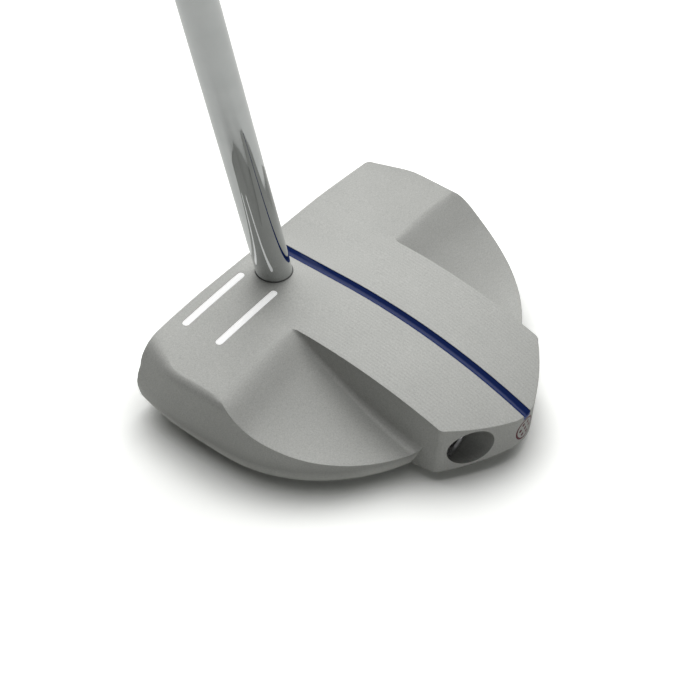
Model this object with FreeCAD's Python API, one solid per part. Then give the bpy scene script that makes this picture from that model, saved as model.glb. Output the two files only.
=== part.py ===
import FreeCAD, Part
import math
import os
from FreeCAD import Vector

# Mallet putter, in millimetres. The model is drawn with the striking face on y = 0, the head
# running back along +Y, the heel and the shaft's lean on +X, and the ground on z = 0.
# Every sub-part is exported with the origin moved back to the flat pad on the sole.

# Driving dimensions: head
HEAD_HEIGHT = 25.2
FACE_HALF_WIDTH = 51.5
HEAD_HALF_WIDTH = 53.6
SIDE_FRONT = 17.0
SIDE_REAR = 27.6
WING_DEPTH = 44.2
SOLE_PAD_BACK = 36.0
BELLY_HEIGHT = 11.4
FOOT_DRAFT = 0.42
FOOT_SOFTNESS = 3.0
RIDGE_HALF_WIDTH = 22.2
RIDGE_CORNER_BACK = 71.2
RIDGE_BACK = 83.4
DECK_FLAT_BACK = 25.4
RIDGE_ARC_RADIUS = 161.5
CROWN_RADIUS = 500.0
SOLE_RADIUS_X = 550.0
SOLE_RADIUS_Y = 215.0
SOLE_PAD_CUT = 0.2

# Upper corner of the rim: inward lean, radius and top height, at the face and along the side
CORNER_AT_FACE = (1.2, 7.0, 23.2)
CORNER_AT_TOE = (1.2, 6.0, 23.3)
CORNER_AT_SIDE = (0.1, 3.5, 22.85)
CORNER_BLEND_BACK = 12.0
LAST_CORNER_ANGLE = 78.0

# Floor of the wing scoop, as distance behind the face and height: beside the ridge, and past the
# rim on the heel side and on the slightly lower toe side
SCOOP_OUTER_X = 56.0
FOOT_RADII = (0.8, 3.6)
FLOOR_AT_RIDGE = [
    (17, 26.1), (21, 25.6), (24, 25.15), (26, 24.65), (28, 23.55), (30, 22.2), (33, 20.25),
    (36, 18.65), (41.5, 15.8), (48.5, 12.7), (54, 10.6), (61, 8.6), (68, 7.0), (90, 3.5),
]
FLOOR_AT_RIM = [
    (17, 22.8), (21, 22.5), (24, 22.3), (26, 22.05), (28, 21.5), (30, 20.5), (33, 18.45),
    (36, 16.6), (41.5, 14.2), (48.5, 11.75), (54, 10.35), (61, 8.6), (68, 6.9), (90, 3.5),
]
FLOOR_AT_TOE_RIM = [
    (17, 23.3), (21, 23.1), (24, 22.4), (26, 21.3), (28, 20.0), (30, 18.85), (33, 17.05),
    (36, 15.4), (41.5, 13.0), (48.5, 10.65), (54, 9.5), (61, 8.4), (68, 6.9), (90, 3.5),
]

# Driving dimensions: what goes into the head
SHAFT_X = 8.4
SHAFT_BACK = 9.314
SHAFT_LIE = 73.5
SHAFT_FORWARD = 3.41
SHAFT_TIP_RADIUS = 4.7
EPOXY_GAP = 0.15
SOCKET_DEPTH = 20.0
PORT_X = 15.0
PORT_HEIGHT = 10.1
PORT_RADIUS = 5.4
WEIGHT_FACE_BACK = 72.6
WEIGHT_LENGTH = 14.0
WEIGHT_CLEARANCE = 0.05
SIGHT_X = (15.4, 37.4)
SIGHT_BACKS = (4.0, 14.62)
SIGHT_WIDTH = 1.9
SIGHT_DEPTH = 0.5
CENTRE_LINE_WIDTH = 3.0
CENTRE_LINE_START = 3.0
CENTRE_LINE_DEPTH = 1.3
ENAMEL_SINK = 0.9
MARK_HEIGHT = 9.5
MARK_RADIUS = 3.5
MARK_DEPTH = 0.35

# Driving dimensions: shaft and grip, measured along the shaft from the ground
PUTTER_LENGTH = 889.0
SHAFT_WALL = 0.5
FIRST_STEP = 260.0
STEP_PITCH = 30.0
STEP_COUNT = 12
BUTT_RADIUS = 7.6
GRIP_START = 622.0
CAP_THICKNESS = 5.0
TAPE_THICKNESS = 0.3
# Height, half width, half depth and flat side of the grip
GRIP_SECTIONS = [
    (622.0, 9.6, 9.6, 8.9), (652.0, 11.0, 10.6, 9.3), (712.0, 12.6, 11.6, 9.7),
    (782.0, 13.4, 12.6, 10.0), (847.0, 13.8, 14.2, 10.2), (884.0, 13.6, 14.6, 10.2),
]

OVERLAP = 0.05
BIG = 140.0


def export(node, shape):
    """Write one sub-part, with the origin on the sole pad."""
    moved = shape.copy()
    moved.translate(Vector(0, -SOLE_PAD_BACK, 0))
    moved.exportStep("parts/%s.step" % node)


def mirrored(shape):
    return shape.mirror(Vector(0, 0, 0), Vector(1, 0, 0))


def single(shape):
    """The one solid inside a boolean's result."""
    return max(shape.Solids, key=lambda solid: solid.Volume)


# ---------------------------------------------------------------- head body


def rim_corner(point):
    """Lean, radius and top of the rim's upper corner: softest where it meets the face."""
    t = min(1.0, max(0.0, point.y / CORNER_BLEND_BACK))
    blend = t * t * (3 - 2 * t)
    at_face = CORNER_AT_FACE if point.x > 0 else CORNER_AT_TOE
    return [near + (far - near) * blend for near, far in zip(at_face, CORNER_AT_SIDE)]


def rim_step(step, point):
    """Height and inset of one step up the rim, from the sole to above the deck."""
    lean, radius, top = rim_corner(point)
    kind, value = step
    if kind == "foot":
        drop = BELLY_HEIGHT - value
        return value, FOOT_DRAFT * drop * drop / (drop + FOOT_SOFTNESS)
    if kind == "wall":
        return BELLY_HEIGHT + value * (top - radius - BELLY_HEIGHT), lean * value * value
    angle = math.radians(min(value, LAST_CORNER_ANGLE))
    height = top - radius + radius * math.sin(angle)
    inset = lean + radius * (1 - math.cos(angle))
    if kind == "above":
        last = math.radians(LAST_CORNER_ANGLE)
        inset += (value - height) * math.tan(last)
        height = value
    return height, inset


def rim_outline():
    """Widest outline as points and outward normals, from the toe round the back to the heel."""
    half = []
    reach = SIDE_FRONT / math.sqrt(1 - (FACE_HALF_WIDTH / HEAD_HALF_WIDTH) ** 2)
    for back in (-6, 0, 6, 11.5):
        x = HEAD_HALF_WIDTH * math.sqrt(1 - ((SIDE_FRONT - back) / reach) ** 2)
        normal = Vector(x / HEAD_HALF_WIDTH ** 2, (back - SIDE_FRONT) / reach ** 2, 0).normalize()
        half.append((Vector(x, back, 0), normal))
    half.append((Vector(HEAD_HALF_WIDTH, SIDE_FRONT, 0), Vector(1, 0, 0)))
    half.append((Vector(HEAD_HALF_WIDTH, (SIDE_FRONT + SIDE_REAR) / 2, 0), Vector(1, 0, 0)))
    for degrees in (90, 78, 66, 54, 42, 30, 18, 6):
        a = math.radians(degrees)
        x = HEAD_HALF_WIDTH * math.sin(a)
        run = WING_DEPTH * math.cos(a)
        normal = Vector(x / HEAD_HALF_WIDTH ** 2, run / WING_DEPTH ** 2, 0).normalize()
        half.append((Vector(x, SIDE_REAR + run, 0), normal))
    other = [(Vector(-p.x, p.y, 0), Vector(-n.x, n.y, 0)) for p, n in half]
    return other + half[::-1]


def rim_wire(step):
    points = []
    for point, normal in rim_outline():
        height, inset = rim_step(step, point)
        inner = point - normal * inset
        points.append(Vector(inner.x, inner.y, height))
    curve = Part.BSplineCurve()
    curve.interpolate(points)
    return Part.Wire([curve.toShape(), Part.makeLine(points[-1], points[0])])


def rim_block():
    steps = [("foot", h) for h in (-3.0, 0.0, 2.0, 4.0, 6.0, 8.0, 9.7)]
    steps += [("wall", t) for t in (0.0, 0.5, 0.8, 1.0)]
    steps += [("corner", a) for a in (13, 26, 39, 52, 65, LAST_CORNER_ANGLE)]
    steps += [("above", 27.0)]
    return Part.makeLoft([rim_wire(step) for step in steps], True, True)


def under_top(sink=0.0):
    """Everything below the deck and ridge: crowned across, flat in front, an arc down behind."""
    top = HEAD_HEIGHT - sink
    half = 66.0
    edge = top - CROWN_RADIUS + math.sqrt(CROWN_RADIUS ** 2 - half ** 2)
    left = Vector(-half, DECK_FLAT_BACK, edge)
    right = Vector(half, DECK_FLAT_BACK, edge)
    low_right = Vector(half, DECK_FLAT_BACK, -30)
    low_left = Vector(-half, DECK_FLAT_BACK, -30)
    section = Part.Face(Part.Wire([
        Part.Arc(left, Vector(0, DECK_FLAT_BACK, top), right).toShape(),
        Part.makeLine(right, low_right),
        Part.makeLine(low_right, low_left),
        Part.makeLine(low_left, left),
    ]))
    front = section.extrude(Vector(0, -50, 0))
    hub = Vector(0, DECK_FLAT_BACK, HEAD_HEIGHT - RIDGE_ARC_RADIUS)
    return front.fuse(section.revolve(hub, Vector(-1, 0, 0), 32))


def scoop_wire(x, floor_points):
    """Upright outline of the wing scoop at one distance from the centre line."""
    points = [Vector(x, back, height) for back, height in floor_points]
    floor = Part.BSplineCurve()
    floor.interpolate(points)
    high_front = Vector(x, points[0].y, 60)
    high_back = Vector(x, points[-1].y, 60)
    return Part.Wire([
        floor.toShape(),
        Part.makeLine(points[-1], high_back),
        Part.makeLine(high_back, high_front),
        Part.makeLine(high_front, points[0]),
    ])


def wing_cutter(floor_at_rim):
    """Scoop behind the deck, ruled between two floor lines, with a growing foot round."""
    inner = scoop_wire(RIDGE_HALF_WIDTH, FLOOR_AT_RIDGE)
    outer = scoop_wire(SCOOP_OUTER_X, floor_at_rim)
    scoop = Part.makeLoft([inner, outer], True, True)
    low = FLOOR_AT_RIDGE[0][1] + 1
    foot = [e for e in scoop.Edges
            if e.BoundBox.XMax < RIDGE_HALF_WIDTH + 1 and e.BoundBox.ZMax < low]
    return scoop.makeFillet(FOOT_RADII[0], FOOT_RADII[1], foot)


def ridge_outline():
    """Plan of the ridge: straight sides, small corners, drawn-in flanks and a round nose."""
    half = RIDGE_HALF_WIDTH + OVERLAP
    corner = Vector(half, RIDGE_CORNER_BACK, 0)
    corner_mid = Vector(half - 0.45, RIDGE_CORNER_BACK + 1.0, 0)
    flank_start = Vector(half - 1.3, RIDGE_CORNER_BACK + 1.65, 0)
    flank_mid = Vector(12.4, 78.75, 0)
    flank_end = Vector(4.4, 82.65, 0)
    nose = Vector(0, RIDGE_BACK, 0)
    front = Vector(half, 20, 0)

    def flip(point):
        return Vector(-point.x, point.y, point.z)

    edges = [
        Part.makeLine(front, corner),
        Part.Arc(corner, corner_mid, flank_start).toShape(),
        Part.Arc(flank_start, flank_mid, flank_end).toShape(),
        Part.Arc(flank_end, nose, flip(flank_end)).toShape(),
        Part.Arc(flip(flank_end), flip(flank_mid), flip(flank_start)).toShape(),
        Part.Arc(flip(flank_start), flip(corner_mid), flip(corner)).toShape(),
        Part.makeLine(flip(corner), flip(front)),
        Part.makeLine(flip(front), front),
    ]
    return Part.Face(Part.Wire(edges))


def ridge_block(shift=0.0):
    block = ridge_outline().extrude(Vector(0, 0, 40))
    block.translate(Vector(0, -shift, -4))
    return block


def sole_block():
    """Everything above the cambered sole; the flat pad is cut on z = 0."""
    low = -SOLE_PAD_CUT
    rise = SOLE_RADIUS_Y - math.sqrt(SOLE_RADIUS_Y ** 2 - 60 ** 2)
    front = Vector(0, SOLE_PAD_BACK - 60, low + rise)
    back = Vector(0, SOLE_PAD_BACK + 60, low + rise)
    high_back = Vector(0, back.y, 60)
    high_front = Vector(0, front.y, 60)
    section = Part.Face(Part.Wire([
        Part.Arc(front, Vector(0, SOLE_PAD_BACK, low), back).toShape(),
        Part.makeLine(back, high_back),
        Part.makeLine(high_back, high_front),
        Part.makeLine(high_front, front),
    ]))
    hub = Vector(0, 0, low + SOLE_RADIUS_X)
    section.rotate(hub, Vector(0, 1, 0), -11)
    swept = section.revolve(hub, Vector(0, 1, 0), 22)
    return swept.common(Part.makeBox(BIG, BIG, 80, Vector(-BIG / 2, -BIG / 4, 0)))


def shaft_axis():
    """Up the shaft: leaning to the heel by the lie, and a little forward, over the face."""
    lie = math.radians(SHAFT_LIE)
    forward = math.tan(math.radians(SHAFT_FORWARD)) * math.sin(lie)
    return Vector(math.cos(lie), -forward, math.sin(lie)).normalize()


def ground_point():
    """Where the shaft's axis meets the ground."""
    return Vector(SHAFT_X, SHAFT_BACK, HEAD_HEIGHT) - shaft_axis() * (
        HEAD_HEIGHT / shaft_axis().z)


def shaft_socket():
    start = Vector(SHAFT_X, SHAFT_BACK, HEAD_HEIGHT) - shaft_axis() * SOCKET_DEPTH
    return Part.makeCylinder(SHAFT_TIP_RADIUS + EPOXY_GAP, 60, start, shaft_axis())


def stadium(x0, x1, back, width):
    """A round-ended slot shape running across the head, as a tall prism."""
    r = width / 2
    edges = [
        Part.makeLine(Vector(x0, back - r, 0), Vector(x1, back - r, 0)),
        Part.Arc(Vector(x1, back - r, 0), Vector(x1 + r, back, 0), Vector(x1, back + r, 0)).toShape(),
        Part.makeLine(Vector(x1, back + r, 0), Vector(x0, back + r, 0)),
        Part.Arc(Vector(x0, back + r, 0), Vector(x0 - r, back, 0), Vector(x0, back - r, 0)).toShape(),
    ]
    return Part.Face(Part.Wire(edges)).extrude(Vector(0, 0, 40))


def sight_prism(back):
    return stadium(SIGHT_X[0], SIGHT_X[1], back, SIGHT_WIDTH)


def centre_prism():
    r = CENTRE_LINE_WIDTH / 2
    start = CENTRE_LINE_START + r
    box = Part.makeBox(2 * r, 90 - start, 40, Vector(-r, start, 0))
    return box.fuse(Part.makeCylinder(r, 40, Vector(0, start, 0))).removeSplitter()


def port_prism(x):
    """Port and threaded seat, open to the back."""
    length = 100 - WEIGHT_FACE_BACK + WEIGHT_LENGTH
    start = Vector(x, WEIGHT_FACE_BACK - WEIGHT_LENGTH, PORT_HEIGHT)
    return Part.makeCylinder(PORT_RADIUS, length, start, Vector(0, 1, 0))


def disc(x, height, radius):
    return Part.makeCylinder(radius, 30, Vector(x, 70, height), Vector(0, 1, 0))


def mark_prisms():
    """A plain ring around seven dimples, as prisms along Y."""
    ring = disc(0, MARK_HEIGHT, MARK_RADIUS).cut(disc(0, MARK_HEIGHT, MARK_RADIUS - 0.6))
    prisms = [ring, disc(0, MARK_HEIGHT, 0.55)]
    for i in range(6):
        a = math.radians(60 * i)
        prisms.append(disc(1.85 * math.cos(a), MARK_HEIGHT + 1.85 * math.sin(a), 0.55))
    return prisms


def head_body():
    rim = rim_block().cut(Part.makeBox(BIG, BIG, BIG, Vector(-BIG / 2, -BIG, -BIG / 2)))
    rim = rim.cut(wing_cutter(FLOOR_AT_RIM))
    rim = rim.cut(mirrored(wing_cutter(FLOOR_AT_TOE_RIM)))
    body = single(rim).fuse(ridge_block())
    body = body.common(under_top())
    body = body.common(sole_block())
    return single(body)


def head_with_features():
    body = head_body()
    body = body.cut(shaft_socket())
    for back in SIGHT_BACKS:
        body = body.cut(sight_prism(back).cut(under_top(SIGHT_DEPTH)))
    body = body.cut(centre_prism().cut(under_top(CENTRE_LINE_DEPTH)))
    for x in (PORT_X, -PORT_X):
        body = body.cut(port_prism(x))
    for prism in mark_prisms():
        body = body.cut(prism.cut(ridge_block(MARK_DEPTH)))
    return single(body)


# ---------------------------------------------------------------- enamel fills


def filled(prism, depth, sink):
    """Paint in a groove of the top surface, a little below flush."""
    return single(prism.common(under_top(sink)).cut(under_top(depth)))


def centre_line_enamel():
    fill = filled(centre_prism(), CENTRE_LINE_DEPTH, ENAMEL_SINK)
    return single(fill.common(ridge_block()).fuse(
        fill.common(Part.makeBox(8, 21, 40, Vector(-4, 0, 0)))))


def mark_enamel():
    fills = []
    for prism in mark_prisms():
        fills.append(single(prism.common(ridge_block(0.05)).cut(ridge_block(MARK_DEPTH))))
    return Part.makeCompound(fills)


# ---------------------------------------------------------------- weights


def weight(x):
    """Threaded steel slug with a hexagon socket."""
    start = Vector(x, WEIGHT_FACE_BACK - WEIGHT_LENGTH, PORT_HEIGHT)
    slug = Part.makeCylinder(PORT_RADIUS - WEIGHT_CLEARANCE, WEIGHT_LENGTH, start, Vector(0, 1, 0))
    slug = slug.makeChamfer(0.5, [e for e in slug.Edges if e.Closed and len(e.Vertexes) == 1])
    points = []
    for i in range(7):
        a = math.radians(60 * i + 30)
        across = x + 3.0 * math.cos(a)
        points.append(Vector(across, WEIGHT_FACE_BACK + 1, PORT_HEIGHT + 3.0 * math.sin(a)))
    hexagon = Part.Face(Part.makePolygon(points))
    return slug.cut(hexagon.extrude(Vector(0, -6.0, 0)))


# ---------------------------------------------------------------- shaft and grip


def along_shaft(shape):
    """Stand a shape drawn up +Z from the ground point along the shaft's axis."""
    moved = shape.copy()
    turn = FreeCAD.Rotation(Vector(0, 0, 1), shaft_axis())
    moved.Placement = FreeCAD.Placement(ground_point(), turn).multiply(moved.Placement)
    return moved


def revolved(profile):
    points = [Vector(radius, 0, height) for radius, height in profile]
    face = Part.Face(Part.makePolygon(points + points[:1]))
    return face.revolve(Vector(0, 0, 0), Vector(0, 0, 1), 360)


def shaft_start():
    """Where the tube's tip sits, just off the bottom of its socket."""
    return HEAD_HEIGHT / shaft_axis().z - SOCKET_DEPTH + 0.5


def shaft_end():
    return PUTTER_LENGTH - CAP_THICKNESS


def shaft_tube():
    """Stepped steel tube: a parallel tip, then short steps up to the butt."""
    outer = [(SHAFT_TIP_RADIUS, shaft_start())]
    growth = (BUTT_RADIUS - SHAFT_TIP_RADIUS) / STEP_COUNT
    for i in range(STEP_COUNT):
        height = FIRST_STEP + i * STEP_PITCH
        radius = SHAFT_TIP_RADIUS + i * growth
        outer.append((radius, height))
        outer.append((radius + growth, height + 0.8))
    outer.append((BUTT_RADIUS, shaft_end()))
    inner = [(radius - SHAFT_WALL, height) for radius, height in reversed(outer)]
    return along_shaft(revolved(outer + inner))


def tip_plug():
    plug = Part.makeCylinder(SHAFT_TIP_RADIUS - SHAFT_WALL, 9, Vector(0, 0, shaft_start() + 0.8))
    return along_shaft(plug)


def shaft_epoxy():
    """Bond sleeve around and below the tube, with a thin bead where it leaves the deck."""
    lowest = HEAD_HEIGHT / shaft_axis().z - SOCKET_DEPTH
    outer = SHAFT_TIP_RADIUS + EPOXY_GAP
    sleeve = Part.makeCylinder(outer, 40, Vector(0, 0, lowest))
    sleeve = sleeve.cut(Part.makeCylinder(SHAFT_TIP_RADIUS, 60, Vector(0, 0, shaft_start())))
    return single(along_shaft(sleeve).common(under_top(-0.12)))


def grip_section(height, half_width, half_depth, flat):
    """A round section with one flat side, on local -X."""
    edge = math.sqrt(1 - (flat / half_depth) ** 2) * half_width
    top = Vector(-flat, edge, height)
    bottom = Vector(-flat, -edge, height)
    far = Vector(half_depth, 0, height)
    mid_top = Vector(0.35 * half_depth, half_width * math.sqrt(1 - 0.35 ** 2), height)
    mid_bottom = Vector(mid_top.x, -mid_top.y, height)
    curve = Part.BSplineCurve()
    curve.interpolate([top, Vector(0, half_width, height), mid_top, far, mid_bottom,
                       Vector(0, -half_width, height), bottom])
    return Part.Wire([curve.toShape(), Part.makeLine(bottom, top)])


def grip_block():
    return Part.makeLoft([grip_section(*section) for section in GRIP_SECTIONS], True, False)


def grip_sleeve():
    bore = Part.makeCylinder(BUTT_RADIUS + TAPE_THICKNESS, 400, Vector(0, 0, GRIP_START - 10))
    return along_shaft(single(grip_block().cut(bore)))


def grip_tape():
    length = shaft_end() - GRIP_START - 4
    start = Vector(0, 0, GRIP_START + 2)
    outer = Part.makeCylinder(BUTT_RADIUS + TAPE_THICKNESS, length, start)
    return along_shaft(outer.cut(Part.makeCylinder(BUTT_RADIUS, length, start)))


def grip_end_cap():
    height = shaft_end()
    wire = grip_section(*GRIP_SECTIONS[-1])
    cap = Part.Face(wire).extrude(Vector(0, 0, CAP_THICKNESS))
    rim = [e for e in cap.Edges if e.BoundBox.ZMin > height + CAP_THICKNESS - 0.01]
    cap = cap.makeFillet(2.2, rim)
    return along_shaft(cap.cut(Part.makeCylinder(1.2, 20, Vector(0, 0, height - 5))))


def main():
    os.makedirs("parts", exist_ok=True)
    export("head_body", head_with_features())
    export("centre_line_enamel", centre_line_enamel())
    for name, back in zip(("front", "rear"), SIGHT_BACKS):
        fill = filled(sight_prism(back), SIGHT_DEPTH, 0.04)
        export("%s_sight_line_enamel" % name, fill)
    export("rear_mark_enamel", mark_enamel())
    export("heel_weight", weight(PORT_X))
    export("toe_weight", weight(-PORT_X))
    export("shaft_tube", shaft_tube())
    export("shaft_tip_plug", tip_plug())
    export("shaft_epoxy", shaft_epoxy())
    export("grip_tape", grip_tape())
    export("grip_sleeve", grip_sleeve())
    export("grip_end_cap", grip_end_cap())


main()
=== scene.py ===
import math
import bmesh
import bpy
from mathutils import Matrix, Vector


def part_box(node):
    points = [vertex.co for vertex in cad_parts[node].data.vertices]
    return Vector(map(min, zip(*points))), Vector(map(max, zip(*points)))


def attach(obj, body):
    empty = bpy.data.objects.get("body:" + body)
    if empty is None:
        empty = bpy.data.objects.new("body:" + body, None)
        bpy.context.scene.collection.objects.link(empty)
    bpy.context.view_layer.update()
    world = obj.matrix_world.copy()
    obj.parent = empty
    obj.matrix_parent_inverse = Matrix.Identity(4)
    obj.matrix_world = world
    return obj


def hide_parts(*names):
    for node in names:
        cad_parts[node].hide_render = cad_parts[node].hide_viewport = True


# The looks of a mallet putter around its CAD frame. Metres, origin on the flat pad of the sole,
# striking face towards -Y, heel and shaft lean towards +X.

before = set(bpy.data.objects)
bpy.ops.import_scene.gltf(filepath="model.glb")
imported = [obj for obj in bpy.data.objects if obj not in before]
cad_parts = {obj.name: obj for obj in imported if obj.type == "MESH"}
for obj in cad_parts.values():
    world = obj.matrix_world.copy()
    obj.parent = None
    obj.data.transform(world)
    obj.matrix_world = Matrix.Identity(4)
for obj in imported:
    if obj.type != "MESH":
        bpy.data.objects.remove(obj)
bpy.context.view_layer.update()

MM = 0.001

# Head, as in the CAD source
PAD_BACK = 36.0 * MM
HEAD_HEIGHT = 25.2 * MM
DECK_FLAT_BACK = 25.4 * MM
RIDGE_ARC_RADIUS = 161.5 * MM
NOSE_BACK = 83.4 * MM
NOSE_RADIUS = 13.3 * MM
LINE_START = 3.0 * MM
LINE_RADIUS = 1.5 * MM
LINE_DEPTH = 1.3 * MM
LINE_WALL_SINK = 0.15 * MM
LINE_WALL_COAT = 0.05 * MM
LINE_EDGE_SINK = 0.17 * MM
LINE_MIDDLE_SINK = 1.15 * MM

# Weights, as in the CAD source
PORT_X = 15.0 * MM
PORT_HEIGHT = 10.1 * MM
PORT_RADIUS = 5.4 * MM
WEIGHT_RADIUS = 5.35 * MM
WEIGHT_HEX_RADIUS = 3.0 * MM
WEIGHT_HEX_DEPTH = 6.0 * MM
THREAD_PITCH = 1.0 * MM
THREAD_DEPTH = 0.45 * MM

# Shaft and grip, as in the CAD source: heights run up the shaft from the ground, and the grip's
# sections are its height, half width, half depth and flat in millimetres
SHAFT_LIE = math.radians(73.5)
SHAFT_FORWARD = math.radians(3.41)
SHAFT_X = 8.4 * MM
SHAFT_BACK = 9.314 * MM
TIP_RADIUS = 4.7 * MM
BUTT_RADIUS = 7.6 * MM
WALL = 0.5 * MM
SOCKET_DEPTH = 20.0 * MM
FIRST_STEP = 260.0 * MM
STEP_PITCH = 30.0 * MM
STEP_COUNT = 12
SHAFT_END = 884.0 * MM
GRIP_START = 622.0 * MM
GRIP_SECTIONS = [
    (0, 9.6, 9.6, 8.9), (30, 11.0, 10.6, 9.3), (90, 12.6, 11.6, 9.7),
    (160, 13.4, 12.6, 10.0), (225, 13.8, 14.2, 10.2), (262, 13.6, 14.6, 10.2),
]

# Moulded detail of the grip and its cap
GRIP_ROWS = 440
GRIP_WALL_GAP = 0.3 * MM
PATTERN_PITCH = 5 * MM
PATTERN_TURNS = 8
PATTERN_SINK = 0.08 * MM
RIB_DEPTH = 0.25 * MM
DIAMOND_DEPTH = 0.3 * MM
CAP_SIDE = [(0.1, 0.0), (0.1, 2.6), (0.3, 3.5), (0.9, 4.4), (1.7, 4.9), (2.4, 5.0)]
CAP_RINGS = (3.6, 6.4)
CAP_VENT = [(1.5, 5.0), (1.2, 4.7), (1.2, 0.0)]

# Finish of the head: cutter lines on the ridge, painted light on the under-turned foot, and
# painted shade inside the ports
CUTTER_PITCH = 1.0 * MM
CUTTER_SIDES = (21.5 * MM, 22.4 * MM)
CUTTER_FRONT = (-24 * MM, -2 * MM)
EDGE_RADIUS = 0.2 * MM
PAINTED_FOOT_LIGHT = 1.0
FOOT_HEIGHTS = (1.5 * MM, 6.5 * MM)
PORT_PAINTED_SHADE = -0.32
PORT_FRONT = (15 * MM, 16 * MM)

# Colours, linear
ALUMINIUM = (0.41, 0.414, 0.396)
CHROME = (0.57, 0.584, 0.58)
CHROME_SMUDGE = (0.51, 0.524, 0.521)
BLUE = (0.002, 0.019, 0.125)
WHITE = (1.0, 1.0, 0.99)
RED = (0.09, 0.002, 0.012)
STEEL = (0.5, 0.5, 0.51)
STEEL_STAIN = (0.26, 0.26, 0.27)
EPOXY = ((0.05, 0.05, 0.05), (0.07, 0.07, 0.068))
PLUG = ((0.04, 0.04, 0.04), (0.06, 0.06, 0.06))
TAPE = ((0.72, 0.66, 0.50), (0.82, 0.77, 0.62))
GRIP = ((0.028, 0.028, 0.03), (0.042, 0.042, 0.045))
CAP = ((0.035, 0.035, 0.037), (0.05, 0.05, 0.052))
FLOOR = ((0.99, 1.0, 0.975), (1.0, 1.005, 0.99))
ROOM = ((0.80, 0.81, 0.80), (1.0, 1.0, 0.99))

# Camera
CAMERA_AZIMUTH = 121.921
CAMERA_ELEVATION = 43.448
CAMERA_ROLL = 5.898
CAMERA_PLACE = (0.333008, 0.200967, 0.374647)
CAMERA_LENS = 105.4956
CAMERA_SENSOR = 36.0

# Light: a large soft panel over the toe and face, a weak fill from behind and a dim room, which
# shows brighter in reflections than it lights
PANEL_PLACE = (-0.5, -0.45, 1.2)
PANEL_SIZE = 2.6
PANEL_POWER = 31.5
FILL_PLACE = (0.15, 1.0, 0.35)
FILL_SIZE = 0.8
FILL_POWER = 1.1
ROOM_STRENGTH = 0.05
ROOM_SHEEN = 0.36

# Floor: its grey in the light it sends on, and how it is lifted to look evenly pale as the
# panel's light falls off, and darkened with a painted shadow where the head stands close
FLOOR_HALF = 4.0
FLOOR_DROP = 0.2 * MM
FLOOR_GREY = 0.82
FLOOR_LIFT = 1.58
FAR_LIFT = 16.0
LIFT_START = 0.40
LIFT_REACH = 1.05
CONTACT_REACH = 14 * MM
CONTACT_PAINTED_SHADE = 0.5
CONTACT_OPEN = (0.4, 0.95)

# Points round every ring of a turned or moulded shape
SEGMENTS = 96


# ---------------------------------------------------------------- node helpers


def material(name, **settings):
    """A new material and the tree and Principled shader inside it."""
    made = bpy.data.materials.new(name)
    made.use_nodes = True
    shader = made.node_tree.nodes["Principled BSDF"]
    for key, value in settings.items():
        shader.inputs[key.replace("_", " ")].default_value = value
    return made, made.node_tree, shader


def node(tree, kind, *values, **props):
    """A node with its first inputs linked or set in order."""
    made = tree.nodes.new("ShaderNode" + kind)
    for key, value in props.items():
        setattr(made, key, value)
    for socket, value in zip(made.inputs, values):
        if isinstance(value, bpy.types.NodeSocket):
            tree.links.new(value, socket)
        elif value is not None:
            socket.default_value = value
    return made


def maths(tree, operation, a, b=None, c=None):
    return node(tree, "Math", a, b, c, operation=operation).outputs[0]


def place(tree):
    """Position in the object's own frame, which is the row frame at rest."""
    return node(tree, "TexCoord").outputs["Object"]


def scaled(tree, vector, scale):
    return node(tree, "VectorMath", vector, scale, operation="MULTIPLY").outputs[0]


def noise(tree, vector, size, detail=2.0, roughness=0.5):
    """Smooth noise with blobs about `size` metres across, from 0 to 1."""
    made = node(tree, "TexNoise")
    tree.links.new(vector, made.inputs["Vector"])
    made.inputs["Scale"].default_value = 1.0 / size
    made.inputs["Detail"].default_value = detail
    made.inputs["Roughness"].default_value = roughness
    return made.outputs["Fac"]


def spread(tree, value, low, high, to_low, to_high):
    """Map a value's range onto another, clamped."""
    return node(tree, "MapRange", value, low, high, to_low, to_high).outputs[0]


def plain(tree, colour):
    """A colour of its own as a socket."""
    made = node(tree, "RGB")
    made.outputs[0].default_value = (*colour, 1)
    return made.outputs[0]


def shaded(tree, colour, amount):
    """A colour multiplied by a grey amount."""
    made = node(tree, "VectorMath", colour, operation="SCALE")
    tree.links.new(amount, made.inputs["Scale"])
    return made.outputs[0]


def mixed(tree, factor, first, second):
    """One colour turning into another, by the Mix node's colour sockets."""
    made = tree.nodes.new("ShaderNodeMix")
    made.data_type = "RGBA"
    for socket, value in zip((0, 6, 7), (factor, first, second)):
        if isinstance(value, bpy.types.NodeSocket):
            tree.links.new(value, made.inputs[socket])
        else:
            made.inputs[socket].default_value = value if socket == 0 else (*value, 1)
    return made.outputs[2]


def bump(tree, height, distance, strength=1.0, normal=None):
    made = node(tree, "Bump")
    made.inputs["Strength"].default_value = strength
    made.inputs["Distance"].default_value = distance
    tree.links.new(height, made.inputs["Height"])
    if normal:
        tree.links.new(normal, made.inputs["Normal"])
    return made.outputs[0]


def rounded_edges(tree, radius):
    """A normal that turns over an edge as if it were rounded."""
    made = tree.nodes.new("ShaderNodeBevel")
    made.samples = 6
    made.inputs["Radius"].default_value = radius
    return made.outputs[0]


def wired(tree, shader, **links):
    """Link sockets into the shader's inputs by name."""
    for key, value in links.items():
        tree.links.new(value, shader.inputs[key.replace("_", " ")])


# ---------------------------------------------------------------- materials


def foot_painted_light(tree, parts, facing):
    """Painted light: the under-turned foot of the rim is made brighter towards the ground."""
    low = spread(tree, parts.outputs[2], *FOOT_HEIGHTS, PAINTED_FOOT_LIGHT, 0.0)
    under = spread(tree, facing.outputs[2], -0.25, -0.1, 1.0, 0.0)
    return maths(tree, "MULTIPLY_ADD", low, under, 1.0)


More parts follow.
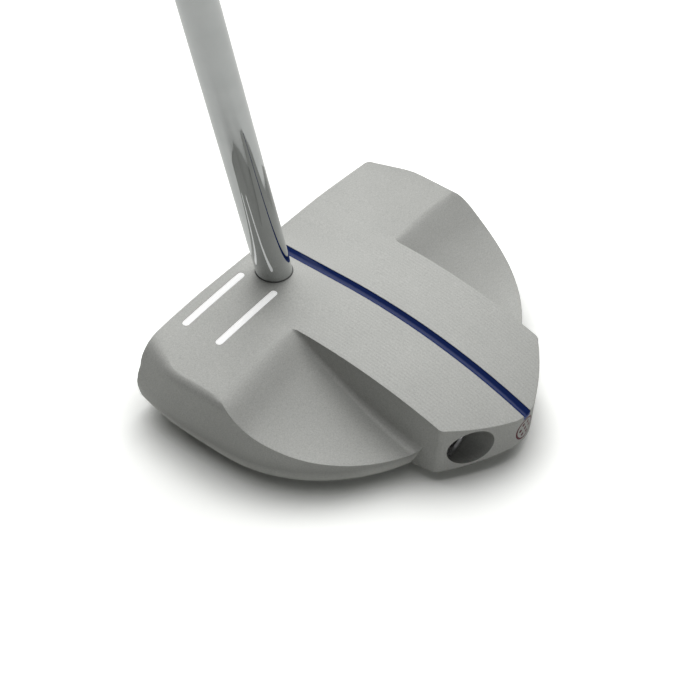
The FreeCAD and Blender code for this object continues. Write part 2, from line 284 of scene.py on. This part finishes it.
def port_painted_shade(tree, parts):
    """The bored ports are darkened inside with painted shade."""
    across = maths(tree, "SUBTRACT", maths(tree, "ABSOLUTE", parts.outputs[0]), PORT_X)
    rise = maths(tree, "SUBTRACT", parts.outputs[2], PORT_HEIGHT)
    reach = maths(tree, "SQRT", maths(tree, "ADD", maths(tree, "MULTIPLY", across, across),
                                      maths(tree, "MULTIPLY", rise, rise)))
    inside = spread(tree, reach, PORT_RADIUS + 0.02 * MM, PORT_RADIUS + 0.08 * MM, 1.0, 0.0)
    behind = spread(tree, parts.outputs[1], *PORT_FRONT, 0.0, 1.0)
    return maths(tree, "MULTIPLY_ADD", maths(tree, "MULTIPLY", inside, behind),
                 PORT_PAINTED_SHADE, 1.0)


def cutter_lines(tree, spot, parts, facing):
    """Fine lines along the top of the ridge, fading out towards the face."""
    wander = noise(tree, scaled(tree, spot, (1.0, 0.12, 1.0)), 3 * MM)
    phase = maths(tree, "MULTIPLY_ADD", parts.outputs[0], 2 * math.pi / CUTTER_PITCH,
                  maths(tree, "MULTIPLY", wander, 2.4))
    lines = maths(tree, "SINE", phase)
    upward = spread(tree, facing.outputs[2], 0.86, 0.93, 0, 1)
    inside = spread(tree, maths(tree, "ABSOLUTE", parts.outputs[0]), *CUTTER_SIDES, 1, 0)
    behind = spread(tree, parts.outputs[1], *CUTTER_FRONT, 0.0, 1.0)
    mask = maths(tree, "MULTIPLY", maths(tree, "MULTIPLY", upward, inside), behind)
    return maths(tree, "MULTIPLY", lines, mask)


def head_aluminium():
    """Bead-blasted aluminium: grain, pits and slight clouds over the cutter lines."""
    mat, tree, shader = material("head_aluminium", Metallic=0.4)
    spot = place(tree)
    parts = node(tree, "SeparateXYZ", spot)
    facing = node(tree, "SeparateXYZ", node(tree, "NewGeometry").outputs["Normal"])
    grain = noise(tree, spot, 0.34 * MM, 3.0, 0.65)
    pits = noise(tree, spot, 0.16 * MM, 2.0, 0.6)
    cloud = noise(tree, spot, 14 * MM, 2.0)
    lined = cutter_lines(tree, spot, parts, facing)
    amount = maths(tree, "ADD", spread(tree, grain, 0.3, 0.7, 0.84, 1.14),
                   maths(tree, "MULTIPLY", lined, 0.035))
    amount = maths(tree, "MULTIPLY", amount, spread(tree, cloud, 0.3, 0.7, 0.975, 1.02))
    # Painted light brightens the under-turned foot towards the ground
    amount = maths(tree, "MULTIPLY", amount, foot_painted_light(tree, parts, facing))
    # Painted shade darkens the inside of the ports
    amount = maths(tree, "MULTIPLY", amount, port_painted_shade(tree, parts))
    rough = spread(tree, pits, 0.3, 0.7, 0.5, 0.62)
    rise = bump(tree, lined, 0.005 * MM, 0.8, rounded_edges(tree, EDGE_RADIUS))
    rise = bump(tree, grain, 0.05 * MM, 0.8, rise)
    rise = bump(tree, pits, 0.03 * MM, 0.6, rise)
    wired(tree, shader, Base_Color=shaded(tree, plain(tree, ALUMINIUM), amount),
          Roughness=rough, Normal=rise)
    return mat


def chrome():
    """Bright plating with faint polishing lines round the tube and a few dull smudges."""
    mat, tree, shader = material("shaft_chrome", Metallic=1.0)
    spot = place(tree)
    smudge = noise(tree, spot, 9 * MM, 3.0)
    rings = noise(tree, scaled(tree, spot, (0.2, 0.2, 3.0)), 1.2 * MM, 2.0)
    rough = spread(tree, smudge, 0.35, 0.75, 0.035, 0.10)
    colour = mixed(tree, spread(tree, smudge, 0.3, 0.8, 0.0, 1.0), CHROME, CHROME_SMUDGE)
    wired(tree, shader, Base_Color=colour, Roughness=rough,
          Normal=bump(tree, rings, 0.004 * MM, 0.3))
    return mat


def enamel(name, colour, variation, roughness=0.12, coat=0.6, sheen=0.5, painted_wall_light=1.0,
           painted_glow=0.0):
    """Paint that has levelled in a groove, with slight waves and specks."""
    # A painted glow above nought makes the paint give off light of its own, though it is no
    # lamp
    mat, tree, shader = material(name, Coat_Weight=coat, Coat_Roughness=0.04,
                                 Specular_IOR_Level=sheen, Emission_Strength=painted_glow)
    spot = place(tree)
    wave = noise(tree, spot, 1.5 * MM, 2.0)
    speck = noise(tree, spot, 0.25 * MM, 2.0, 0.7)
    tint = shaded(tree, plain(tree, colour), spread(tree, speck, 0.3, 0.7, *variation))
    facing = node(tree, "SeparateXYZ", node(tree, "NewGeometry").outputs["Normal"])
    # Painted light: the steep walls of the groove are brightened by the wall factor
    tint = shaded(tree, tint, spread(tree, facing.outputs[2], 0.3, 0.8, painted_wall_light, 1.0))
    wired(tree, shader, Base_Color=tint,
          Roughness=spread(tree, speck, 0.3, 0.7, roughness, roughness + 0.1),
          Normal=bump(tree, wave, 0.05 * MM, 0.5))
    return mat


def turned_steel():
    """Dark oiled steel with fine turning marks."""
    mat, tree, shader = material("weight_steel", Metallic=1.0)
    spot = place(tree)
    rings = noise(tree, scaled(tree, spot, (1.0, 6.0, 1.0)), 0.8 * MM, 2.0)
    stain = noise(tree, spot, 2.5 * MM, 3.0)
    colour = mixed(tree, spread(tree, stain, 0.35, 0.7, 0, 1), STEEL, STEEL_STAIN)
    wired(tree, shader, Base_Color=colour, Roughness=spread(tree, stain, 0.3, 0.7, 0.18, 0.38),
          Normal=bump(tree, rings, 0.02 * MM, 0.5))
    return mat


def dull(name, colours, grain, roughness, depth):
    """A matt moulded or cured surface: colour specks, uneven sheen and a fine grain."""
    mat, tree, shader = material(name)
    spot = place(tree)
    fine = noise(tree, spot, grain, 3.0, 0.6)
    wide = noise(tree, spot, grain * 24, 3.0)
    tint = mixed(tree, spread(tree, wide, 0.3, 0.7, 0, 1), *colours)
    tint = shaded(tree, tint, spread(tree, fine, 0.3, 0.7, 0.85, 1.15))
    wired(tree, shader, Base_Color=tint,
          Roughness=spread(tree, wide, 0.3, 0.7, roughness - 0.06, roughness + 0.06),
          Normal=bump(tree, fine, depth, 0.8))
    return mat


def paper_tape():
    """Creped masking tape: cream, with fine cross wrinkles."""
    mat, tree, shader = material("tape_paper", Roughness=0.85)
    spot = place(tree)
    crepe = noise(tree, scaled(tree, spot, (1.0, 1.0, 5.0)), 1.6 * MM, 3.0)
    tint = mixed(tree, crepe, *TAPE)
    wired(tree, shader, Base_Color=tint, Normal=bump(tree, crepe, 0.06 * MM, 0.8))
    return mat


# ---------------------------------------------------------------- mesh helpers


def placed(name, mesh, mat, body, slot, *nodes):
    """A finished piece on its body, standing for the CAD nodes it replaces."""
    obj = bpy.data.objects.new(name, mesh)
    bpy.context.scene.collection.objects.link(obj)
    mesh.materials.clear()
    mesh.materials.append(mat)
    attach(obj, body)
    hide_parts(*nodes)
    return obj


def smoothed(mesh, degrees):
    """Smooth shading, kept sharp at edges steeper than the angle."""
    bm = bmesh.new()
    bm.from_mesh(mesh)
    bmesh.ops.recalc_face_normals(bm, faces=bm.faces)
    limit = math.radians(degrees)
    for face in bm.faces:
        face.smooth = True
    for edge in bm.edges:
        edge.smooth = len(edge.link_faces) == 2 and edge.calc_face_angle() < limit
    bm.to_mesh(mesh)
    bm.free()


def skin(name, rings, joined=False, degrees=40):
    """Skin a row of equal rings of points; the ends are closed, or joined into a torus."""
    bm = bmesh.new()
    rows = [[bm.verts.new(p) for p in ring] for ring in rings]
    pairs = list(zip(rows, rows[1:]))
    if joined:
        pairs.append((rows[-1], rows[0]))
    count = len(rows[0])
    for low, high in pairs:
        for i in range(count):
            j = (i + 1) % count
            bm.faces.new((low[i], low[j], high[j], high[i]))
    if not joined:
        for row in (rows[0], rows[-1]):
            middle = bm.verts.new(sum((v.co for v in row), Vector()) / count)
            for i in range(count):
                bm.faces.new((row[i], row[(i + 1) % count], middle))
    mesh = bpy.data.meshes.new(name)
    bm.to_mesh(mesh)
    bm.free()
    smoothed(mesh, degrees)
    return mesh


def turns():
    """The angles of a ring's points."""
    return [2 * math.pi * i / SEGMENTS for i in range(SEGMENTS)]


def circle(radius, height):
    return [Vector((radius * math.cos(a), radius * math.sin(a), height)) for a in turns()]


def shaft_frame():
    """From a shape drawn up +Z to the shaft's own line, from the ground point."""
    forward = math.tan(SHAFT_FORWARD) * math.sin(SHAFT_LIE)
    axis = Vector((math.cos(SHAFT_LIE), -forward, math.sin(SHAFT_LIE))).normalized()
    ground = Vector((SHAFT_X, SHAFT_BACK - PAD_BACK, HEAD_HEIGHT)) - axis * (
        HEAD_HEIGHT / axis.z)
    turn = Vector((0, 0, 1)).rotation_difference(axis)
    return Matrix.Translation(ground) @ turn.to_matrix().to_4x4()


def deck_height(back):
    """Height of the top surface at a distance behind the face."""
    run = max(0.0, back - DECK_FLAT_BACK)
    return HEAD_HEIGHT - RIDGE_ARC_RADIUS + math.sqrt(RIDGE_ARC_RADIUS ** 2 - run ** 2)


# ---------------------------------------------------------------- pieces


def head(mat):
    """The CAD solid's own surface, welded and shaded smooth between its real edges."""
    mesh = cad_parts["head_body"].data.copy()
    bm = bmesh.new()
    bm.from_mesh(mesh)
    bmesh.ops.remove_doubles(bm, verts=bm.verts, dist=0.002 * MM)
    bm.to_mesh(mesh)
    bm.free()
    smoothed(mesh, 32)
    return placed("head", mesh, mat, "putter", "head", "head_body")


def line_ring(back, steps=20):
    """One closed section of the centre line's paint: a dished top over a flat bottom."""
    into = min(back - LINE_START, LINE_RADIUS)
    half = math.sqrt(max(0.0, LINE_RADIUS ** 2 - (LINE_RADIUS - into) ** 2))
    half = max(half, 0.02 * MM) - 0.002 * MM
    top = deck_height(back)
    coat = min(LINE_WALL_COAT, half / 3)
    section = [(-half, LINE_WALL_SINK), (coat - half, LINE_WALL_SINK)]
    for i in range(steps + 1):
        t = 2 * i / steps - 1
        dish = LINE_MIDDLE_SINK + (LINE_EDGE_SINK - LINE_MIDDLE_SINK) * t * t
        section.append(((half - coat) * t, dish))
    section += [(half - coat, LINE_WALL_SINK), (half, LINE_WALL_SINK)]
    section += [(half * (1 - i / 4), LINE_DEPTH) for i in range(9)]
    ring = []
    for x, sink in section:
        nose = NOSE_BACK - x * x / (2 * NOSE_RADIUS) - 0.02 * MM
        ring.append(Vector((x, min(back, nose) - PAD_BACK, top - sink)))
    return ring


def centre_line(mat):
    """Blue paint along the groove, with a rounded front end."""
    backs = [LINE_START + LINE_RADIUS * (1 - math.cos(math.pi / 2 * i / 8)) for i in range(8)]
    length = NOSE_BACK - LINE_START - LINE_RADIUS
    backs += [LINE_START + LINE_RADIUS + length * i / 100 for i in range(101)]
    mesh = skin("centre_line", [line_ring(back) for back in backs])
    return placed("centre_line", mesh, mat, "putter", "blue_enamel", "centre_line_enamel")


def shaft_profile():
    """Outer radius and height up the tube, with softened steps."""
    start = HEAD_HEIGHT / math.sin(SHAFT_LIE) - SOCKET_DEPTH + 0.5 * MM
    growth = (BUTT_RADIUS - TIP_RADIUS) / STEP_COUNT
    outer = [(TIP_RADIUS - 0.3 * MM, start), (TIP_RADIUS, start + 0.3 * MM)]
    outer += [(TIP_RADIUS, start + (FIRST_STEP - start) * i / 12) for i in range(1, 12)]
    for i in range(STEP_COUNT):
        low = FIRST_STEP + i * STEP_PITCH
        for share, rise in ((0, 0), (0.12, 0.25), (0.5, 0.4), (0.88, 0.55), (1, 0.8)):
            outer.append((TIP_RADIUS + (i + share) * growth, low + rise * MM))
    outer.append((BUTT_RADIUS, SHAFT_END))
    inner = [(max(radius, TIP_RADIUS) - WALL, height) for radius, height in reversed(outer)]
    return outer + inner


def shaft(mat):
    """The stepped tube, open right through."""
    mesh = skin("shaft", [circle(r, h) for r, h in shaft_profile()], joined=True)
    mesh.transform(shaft_frame())
    return placed("shaft", mesh, mat, "putter", "shaft_chrome", "shaft_tube")


def section_size(height):
    """Half width, half depth and flat of the grip at a height above its mouth, in metres."""
    for low, high in zip(GRIP_SECTIONS, GRIP_SECTIONS[1:]):
        if height <= high[0] * MM:
            break
    t = min(1.0, max(0.0, (height / MM - low[0]) / (high[0] - low[0])))
    return [(a + (b - a) * t) * MM for a, b in zip(low[1:], high[1:])]


def grip_point(angle, size, sink):
    """A point of the grip's outline: round behind, with one flat side on local -X."""
    half_width, half_depth, flat = size
    u = (half_depth - sink) * math.cos(angle)
    v = (half_width - sink) * math.sin(angle)
    limit = -(flat - sink)
    if u < limit:
        u = limit + (u - limit) * 0.02
    return Vector((u, v, 0))


def grip_sink(angle, height):
    """Depth of the moulded pattern: fine diamonds behind, short ribs on the flat."""
    length = SHAFT_END - GRIP_START
    fade = min(1.0, max(0.0, min(height - 16 * MM, length - 14 * MM - height) / (4 * MM)))
    turn = math.cos(angle)
    if turn < -0.8:
        wave = 0.5 - 0.5 * math.cos(2 * math.pi * height / PATTERN_PITCH)
        depth = RIB_DEPTH * wave ** 3
    else:
        run = height / PATTERN_PITCH
        first = math.sin(2 * math.pi * (run + PATTERN_TURNS * angle / (2 * math.pi)))
        second = math.sin(2 * math.pi * (run - PATTERN_TURNS * angle / (2 * math.pi)))
        depth = DIAMOND_DEPTH * max(0.0, 1 - 4 * min(abs(first), abs(second)))
    return PATTERN_SINK + depth * fade


def grip(mat):
    """Rubber sleeve with its moulded pattern and a rounded mouth."""
    length = SHAFT_END - GRIP_START
    bore = BUTT_RADIUS + GRIP_WALL_GAP
    rings = [circle(bore, GRIP_START)]
    for i in range(GRIP_ROWS + 1):
        height = length * i / GRIP_ROWS
        size = section_size(height)
        lip = 0.9 * MM * max(0.0, 1 - height / (1.2 * MM)) ** 2
        up = Vector((0, 0, GRIP_START + height))
        rings.append([grip_point(a, size, lip + grip_sink(a, height)) + up for a in turns()])
    rings.append(circle(bore, SHAFT_END))
    mesh = skin("grip", rings, joined=True, degrees=50)
    mesh.transform(shaft_frame())
    return placed("grip", mesh, mat, "putter", "grip_rubber", "grip_sleeve")


def end_cap(mat):
    """Rounded cap with two shallow moulded rings and the vent hole."""
    size = section_size(SHAFT_END - GRIP_START)
    rows = list(CAP_SIDE)
    for ring in CAP_RINGS:
        rows += [(ring, 5.0), (ring + 0.2, 4.7), (ring + 0.7, 4.7), (ring + 0.9, 5.0)]
    rings = []
    for inset, height in rows:
        shrink = 1 - inset * MM / size[1]
        up = Vector((0, 0, SHAFT_END + height * MM))
        rings.append([grip_point(a, size, 0.0) * shrink + up for a in turns()])
    rings += [circle(radius * MM, SHAFT_END + height * MM) for radius, height in CAP_VENT]
    mesh = skin("end_cap", rings, joined=True)
    mesh.transform(shaft_frame())
    return placed("end_cap", mesh, mat, "putter", "cap_rubber", "grip_end_cap")


def thread_ring(height, length):
    """A ring of the slug's threaded side."""
    ring = []
    for k in range(SEGMENTS):
        angle = 2 * math.pi * k / SEGMENTS
        phase = (height / THREAD_PITCH - k / SEGMENTS) % 1.0
        depth = THREAD_DEPTH * abs(2 * phase - 1)
        ends = min(height, length - height)
        fade = min(1.0, max(0.0, (ends - 0.5 * MM) / (0.6 * MM)))
        chamfer = 0.5 * MM * max(0.0, 1 - ends / (0.5 * MM))
        radius = WEIGHT_RADIUS - max(depth * fade, chamfer)
        ring.append(Vector((radius * math.cos(angle), radius * math.sin(angle), height)))
    return ring


def hexagon(radius, height):
    """A hexagon's outline with as many points as a ring, corners on points."""
    ring = []
    for angle in turns():
        within = (angle + math.pi / 6) % (math.pi / 3) - math.pi / 6
        reach = radius * math.cos(math.pi / 6) / math.cos(within)
        ring.append(Vector((reach * math.cos(angle), reach * math.sin(angle), height)))
    return ring


def weight(name, mat, side):
    """Steel slug with a real thread, chamfers and a broached hexagon socket."""
    low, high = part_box(side)
    length = high.y - low.y
    rows = int(length / THREAD_PITCH * 10)
    rings = [thread_ring(length * i / rows, length) for i in range(rows + 1)]
    rings.append(circle(WEIGHT_HEX_RADIUS + 0.75 * MM, length))
    rings.append(circle(WEIGHT_HEX_RADIUS + 0.55 * MM, length - 0.12 * MM))
    rings.append(hexagon(WEIGHT_HEX_RADIUS, length - 0.5 * MM))
    rings.append(hexagon(WEIGHT_HEX_RADIUS, length - WEIGHT_HEX_DEPTH + 1.0 * MM))
    rings.append(circle(0.4 * MM, length - WEIGHT_HEX_DEPTH))
    mesh = skin(name, rings, degrees=35)
    middle = (low + high) / 2
    turn = Matrix.Rotation(-math.pi / 2, 4, "X")
    mesh.transform(Matrix.Translation((middle.x, low.y, middle.z)) @ turn)
    return placed(name, mesh, mat, side, "weight_steel", side)


def painted(node_name, mat):
    """A CAD node that keeps its shape and gets a finished material."""
    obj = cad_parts[node_name]
    obj.data.materials.clear()
    obj.data.materials.append(mat)


# ---------------------------------------------------------------- stage, lights and camera


def even_level(tree):
    """Lift that makes up for the panel's light falling off with distance along the floor."""
    away = node(tree, "VectorMath", place(tree), (PANEL_PLACE[0], PANEL_PLACE[1], 0),
                operation="DISTANCE").outputs["Value"]
    past = maths(tree, "MAXIMUM", maths(tree, "SUBTRACT", away, LIFT_START), 0.0)
    share = maths(tree, "DIVIDE", past, LIFT_REACH)
    level = maths(tree, "POWER", maths(tree, "MULTIPLY_ADD", share, share, 1.0), 2.0)
    return maths(tree, "MINIMUM", maths(tree, "MULTIPLY", level, FLOOR_GREY * FLOOR_LIFT),
                 FAR_LIFT)


def painted_contact_shadow(tree):
    """Painted shadow on the floor where the object is only millimetres away."""
    contact = node(tree, "AmbientOcclusion", samples=8)
    contact.inputs["Distance"].default_value = CONTACT_REACH
    return spread(tree, contact.outputs["AO"], *CONTACT_OPEN, CONTACT_PAINTED_SHADE, 1.0)


def stage_floor():
    """Pale floor: plain grey to the light it sends on, lifted and given a painted shadow where
    it is seen.
    """
    mat, tree, shader = material("stage_white", Roughness=1.0, Specular_IOR_Level=0.0)
    tint = mixed(tree, noise(tree, place(tree), 60 * MM, 2.0), *FLOOR)
    seen = node(tree, "LightPath").outputs["Is Camera Ray"]
    level = maths(tree, "MULTIPLY", even_level(tree), painted_contact_shadow(tree))
    lift = maths(tree, "ADD", maths(tree, "MULTIPLY", seen, level),
                 spread(tree, seen, 0, 1, FLOOR_GREY, 0))
    wired(tree, shader, Base_Color=shaded(tree, tint, lift))
    mesh = bpy.data.meshes.new("floor")
    corners = [(-1, -1), (1, -1), (1, 1), (-1, 1)]
    mesh.from_pydata([(x * FLOOR_HALF, y * FLOOR_HALF, 0) for x, y in corners],
                     [], [(0, 1, 2, 3)])
    mesh.materials.append(mat)
    floor = bpy.data.objects.new("floor", mesh)
    bpy.context.scene.collection.objects.link(floor)
    floor.location.z = -FLOOR_DROP


def soft_light(name, spot, size, power):
    """A round white panel aimed at the head."""
    data = bpy.data.lights.new(name, "AREA")
    data.shape = "DISK"
    data.size = size
    data.energy = power
    lamp = bpy.data.objects.new(name, data)
    lamp.location = spot
    lamp.visible_camera = False
    lamp.rotation_euler = (-Vector(spot)).to_track_quat("-Z", "Y").to_euler()
    bpy.context.scene.collection.objects.link(lamp)


def room():
    """A pale room, slightly brighter above the toe and face; it lights little."""
    world = bpy.data.worlds.new("room")
    bpy.context.scene.world = world
    world.use_nodes = True
    tree = world.node_tree
    toward = node(tree, "TexCoord").outputs["Generated"]
    side = node(tree, "VectorMath", toward, (-0.55, -0.6, 0.58), operation="DOT_PRODUCT")
    tint = mixed(tree, spread(tree, side.outputs["Value"], -0.6, 0.9, 0, 1), *ROOM)
    tree.links.new(tint, tree.nodes["Background"].inputs["Color"])
    path = node(tree, "LightPath")
    strength = spread(tree, path.outputs["Is Glossy Ray"], 0, 1, ROOM_STRENGTH, ROOM_SHEEN)
    strength = maths(tree, "MAXIMUM", strength, path.outputs["Is Camera Ray"])
    tree.links.new(strength, tree.nodes["Background"].inputs["Strength"])


def camera():
    """The camera by its azimuth, elevation and roll in degrees, and its place."""
    data = bpy.data.cameras.new("camera")
    data.lens = CAMERA_LENS
    data.sensor_width = CAMERA_SENSOR
    data.clip_start = 0.01
    obj = bpy.data.objects.new("camera", data)
    bpy.context.scene.collection.objects.link(obj)
    a, e, r = (math.radians(d) for d in (CAMERA_AZIMUTH, CAMERA_ELEVATION, CAMERA_ROLL))
    right = Vector((math.cos(a), math.sin(a), 0))
    up = Vector((-math.sin(a) * math.sin(e), math.cos(a) * math.sin(e), math.cos(e)))
    back = right.cross(up)
    across = right * math.cos(r) + up * math.sin(r)
    upright = up * math.cos(r) - right * math.sin(r)
    turn = Matrix((across, upright, back)).transposed().to_4x4()
    obj.matrix_world = Matrix.Translation(CAMERA_PLACE) @ turn
    bpy.context.scene.camera = obj


def build():
    camera()
    stage_floor()
    room()
    soft_light("panel", PANEL_PLACE, PANEL_SIZE, PANEL_POWER)
    soft_light("fill", FILL_PLACE, FILL_SIZE, FILL_POWER)
    head(head_aluminium())
    # The blue paint's steep walls are brightened with painted light
    centre_line(enamel("blue_enamel", BLUE, (0.9, 1.1), roughness=0.10, coat=0.0, sheen=0.25,
                       painted_wall_light=1.5))
    shaft(chrome())
    # The white paint gets a slight painted glow
    white = enamel("white_enamel", WHITE, (0.99, 1.0), roughness=0.35, coat=0.3, painted_glow=0.22)
    painted("front_sight_line_enamel", white)
    painted("rear_sight_line_enamel", white)
    painted("rear_mark_enamel", enamel("red_enamel", RED, (0.8, 1.2), roughness=0.3, coat=0.0,
                                       sheen=0.2))
    painted("shaft_epoxy", dull("epoxy_bead", EPOXY, 0.4 * MM, 0.45, 0.02 * MM))
    painted("shaft_tip_plug", dull("plug_rubber", PLUG, 0.3 * MM, 0.7, 0.03 * MM))
    painted("grip_tape", paper_tape())
    steel = turned_steel()
    weight("heel_weight_slug", steel, "heel_weight")
    weight("toe_weight_slug", steel, "toe_weight")
    grip(dull("grip_rubber", GRIP, 0.35 * MM, 0.62, 0.06 * MM))
    end_cap(dull("cap_rubber", CAP, 0.3 * MM, 0.5, 0.03 * MM))
    bpy.context.scene.view_settings.view_transform = "Standard"


build()
